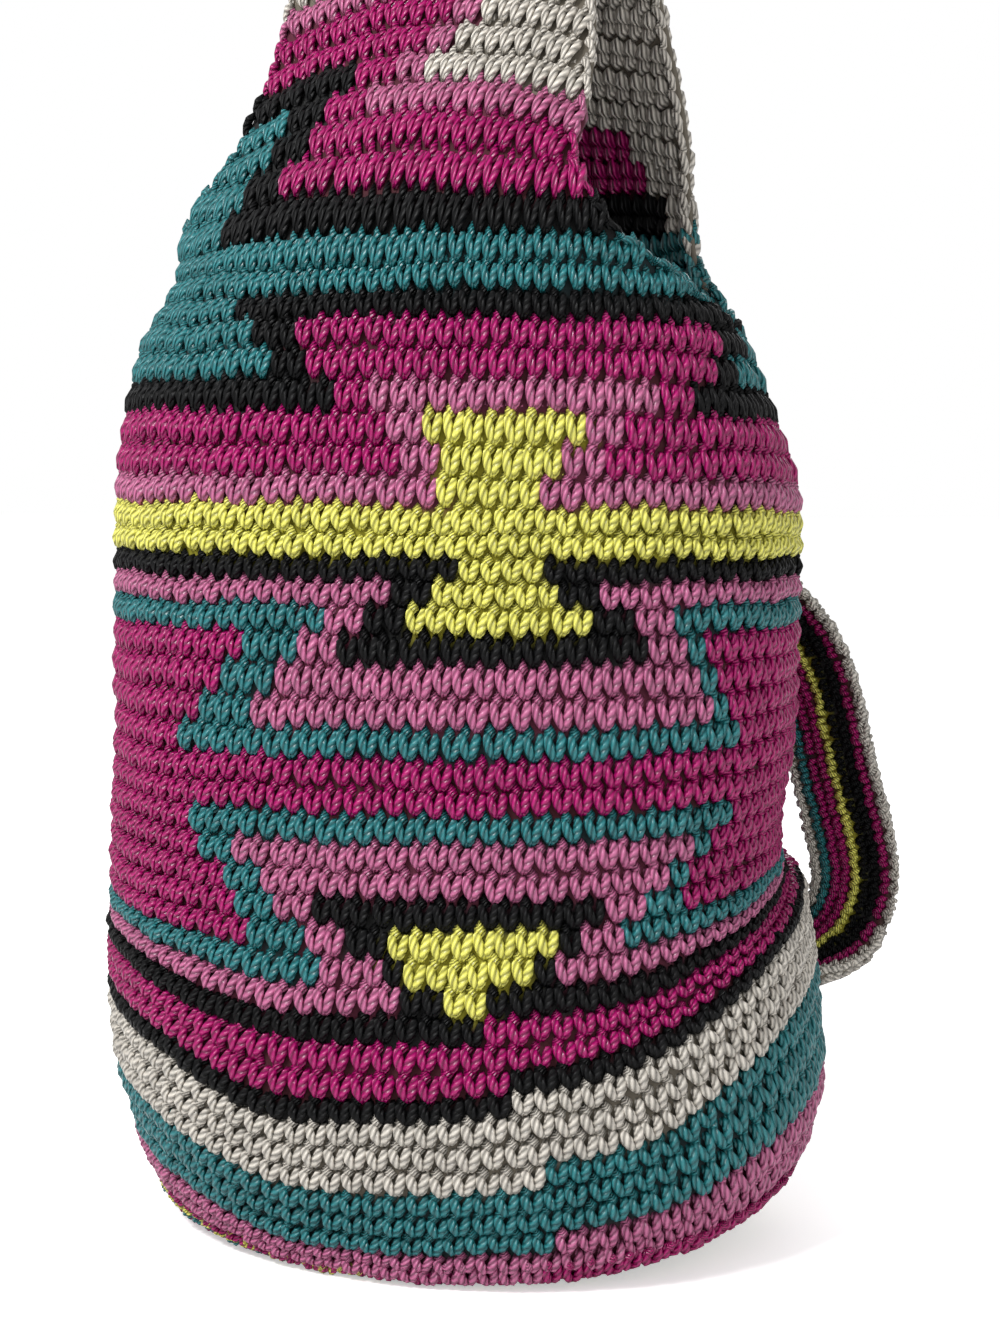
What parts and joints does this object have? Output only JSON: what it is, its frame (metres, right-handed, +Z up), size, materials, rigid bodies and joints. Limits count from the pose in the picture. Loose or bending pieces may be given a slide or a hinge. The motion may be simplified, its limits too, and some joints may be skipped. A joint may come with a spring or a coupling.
{
  "type": "crochet hobo bag",
  "caption": "Slouchy crocheted hobo bag with a broad shoulder handle, open sides, a stepped motif, stripes and a narrow striped sling strap.",
  "frame": {"origin": "middle of the flat patch that the bag rests on", "axes": "+Z up; the handle runs over from the front (-Y) to the back (+Y); the side openings face +X and -X"},
  "size_m": [0.278, 0.2366, 0.569],
  "materials": {
    "crochet_fabric": "crocheted wool in stripes and a stepped motif",
    "crochet_strap": "crocheted wool in lengthwise stripes"
  },
  "bodies": {
    "root": {"bag_body": "crochet_fabric", "sling_strap": "crochet_strap"}
  },
  "joints": []
}
